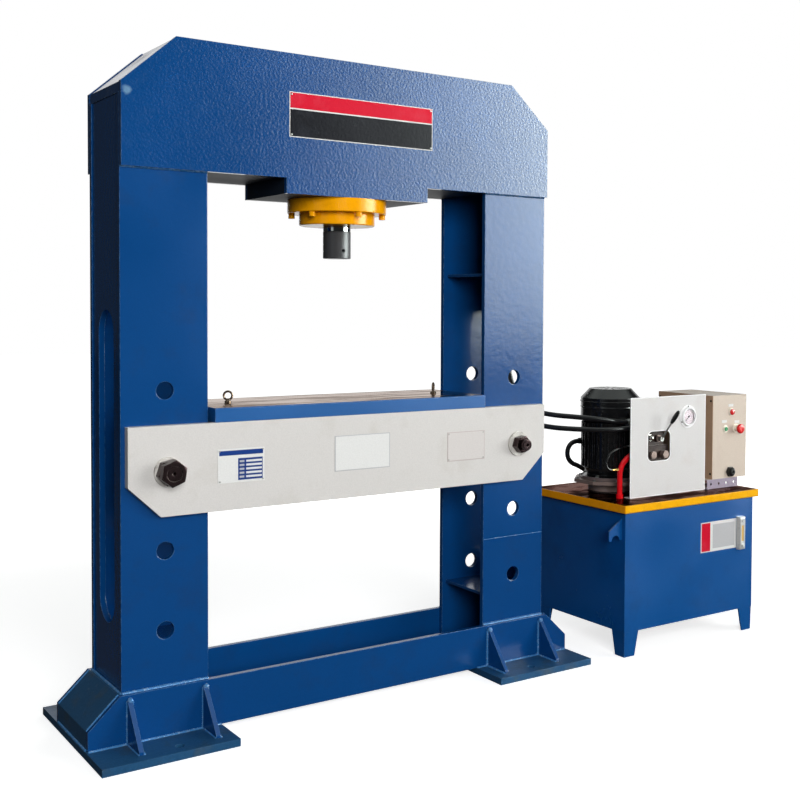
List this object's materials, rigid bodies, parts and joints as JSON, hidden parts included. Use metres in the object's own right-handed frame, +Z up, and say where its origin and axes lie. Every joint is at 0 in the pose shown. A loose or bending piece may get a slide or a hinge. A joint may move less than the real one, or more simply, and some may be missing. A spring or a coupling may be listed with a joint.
{
  "type": "hydraulic press",
  "caption": "Welded H-frame hydraulic press with a bolted-in cylinder, a pinned adjustable table and a separate power unit with tank, motor, hand valve and control box.",
  "frame": {"origin": "on the floor, under the ram's axis, midway between the two columns", "axes": "+Z up along the ram's axis; +X to the operator's right, towards the power unit; +Y to the rear"},
  "size_m": [3.03, 0.725, 2.37],
  "materials": {
    "frame_blue": "satin hammered paint",
    "foot_blue": "satin paint, grimy",
    "apron_grey": "satin paint",
    "machined_steel": "ground",
    "cylinder_yellow": "gloss paint",
    "chrome_rod": "polished",
    "black_steel": "blackened",
    "plated_steel": "zinc plated",
    "port_steel": "plated",
    "seal_black": "matt",
    "tank_blue": "satin paint",
    "rim_yellow": "gloss paint",
    "lid_brown": "oily gloss",
    "gauge_metal": "polished",
    "panel_grey": "satin paint",
    "valve_dark": "oily",
    "relief_bright": "bright",
    "lever_steel": "bright",
    "grip_black": "gloss",
    "case_steel": "satin",
    "gauge_glass": "clear",
    "needle_black": "matt",
    "motor_black": "gloss paint",
    "rotor_steel": "machined",
    "fan_plastic": "matt",
    "pump_iron": "oily",
    "strainer_mesh": "dull",
    "pipe_red": "gloss paint",
    "pipe_steel": "oily",
    "hose_black": "satin",
    "box_beige": "satin paint",
    "cover_brown": "satin paint, shaded",
    "bezel_cream": "gloss",
    "lamp_red": "clear gloss",
    "start_green": "gloss",
    "stop_cream": "gloss",
    "stop_red": "gloss",
    "gland_black": "matt"
  },
  "bodies": {
    "machine": {"base_plates": "foot_blue", "base_rails": "frame_blue", "foot_end_plates": "frame_blue", "foot_gussets": "frame_blue", "column_plates": "frame_blue", "column_webs": "frame_blue", "column_ribs": "frame_blue", "crown_front_plate": "frame_blue", "crown_rear_plate": "frame_blue", "crown_top_plate": "frame_blue", "crown_bottom_plate": "frame_blue", "crown_stiffeners": "frame_blue", "cylinder_barrel": "cylinder_yellow", "cylinder_gland": "cylinder_yellow", "cylinder_bolts": "cylinder_yellow", "cylinder_ports": "port_steel", "table_plate": "machined_steel", "table_aprons": "apron_grey", "table_ribs": "frame_blue", "table_pins": "plated_steel", "pin_nuts": "plated_steel", "eye_bolts": "port_steel", "tank_body": "tank_blue", "tank_hooks": "tank_blue", "tank_legs": "tank_blue", "tank_lid": "lid_brown", "lid_rim": "rim_yellow", "level_gauge": "gauge_metal", "valve_panel": "panel_grey", "valve_block": "valve_dark", "relief_valve": "relief_bright", "gauge_case": "case_steel", "gauge_glass": "gauge_glass", "motor_frame": "motor_black", "fan_cover": "motor_black", "pump_housing": "pump_iron", "suction_strainer": "strainer_mesh", "return_pipe": "pipe_red", "pressure_pipe": "pipe_steel", "upper_hose": "hose_black", "lower_hose": "hose_black", "motor_conduit": "hose_black", "box_body": "box_beige", "box_cover": "cover_brown", "button_bezels": "bezel_cream", "pilot_lamp": "lamp_red", "cable_gland": "gland_black"},
    "ram": {"piston": "rotor_steel", "piston_seals": "seal_black", "piston_rod": "chrome_rod", "rod_end": "black_steel"},
    "lever": {"valve_lever": "lever_steel", "lever_grip": "grip_black"},
    "needle": {"gauge_needle": "needle_black"},
    "start": {"start_button": "start_green"},
    "stop_plunger": {"stop_stem": "stop_cream"},
    "stop_mushroom": {"stop_head": "stop_red"},
    "rotor": {"motor_rotor": "rotor_steel", "motor_fan": "fan_plastic", "pump_shaft": "rotor_steel"}
  },
  "joints": [
    {"name": "ram_slide", "type": "slide", "parent": "machine", "child": "ram", "axis": [0, 0, -1], "range_m": [0, 0.3]},
    {"name": "lever_pivot", "type": "hinge", "parent": "machine", "child": "lever", "pos_m": [1.474, -0.25, 0.899], "axis": [0, 1, 0], "range_deg": [-15, 15]},
    {"name": "needle_pivot", "type": "hinge", "parent": "machine", "child": "needle", "pos_m": [1.642, -0.257, 0.989], "axis": [0, 1, 0], "range_deg": [0, 270], "stiffness_Nm_per_rad": 0.001},
    {"name": "start_push", "type": "slide", "parent": "machine", "child": "start", "axis": [0, 1, 0], "range_m": [0, 0.004], "stiffness_N_per_m": 500},
    {"name": "stop_push", "type": "slide", "parent": "machine", "child": "stop_plunger", "axis": [0, 1, 0], "range_m": [0, 0.005]},
    {"name": "stop_twist", "type": "hinge", "parent": "stop_plunger", "child": "stop_mushroom", "pos_m": [1.944, -0.29, 0.92], "axis": [0, 1, 0], "range_deg": [0, 45], "stiffness_Nm_per_rad": 0.05},
    {"name": "motor_spin", "type": "hinge", "parent": "machine", "child": "rotor", "pos_m": [1.38, -0.02, 0.86], "axis": [0, 0, 1], "continuous": true}
  ]
}
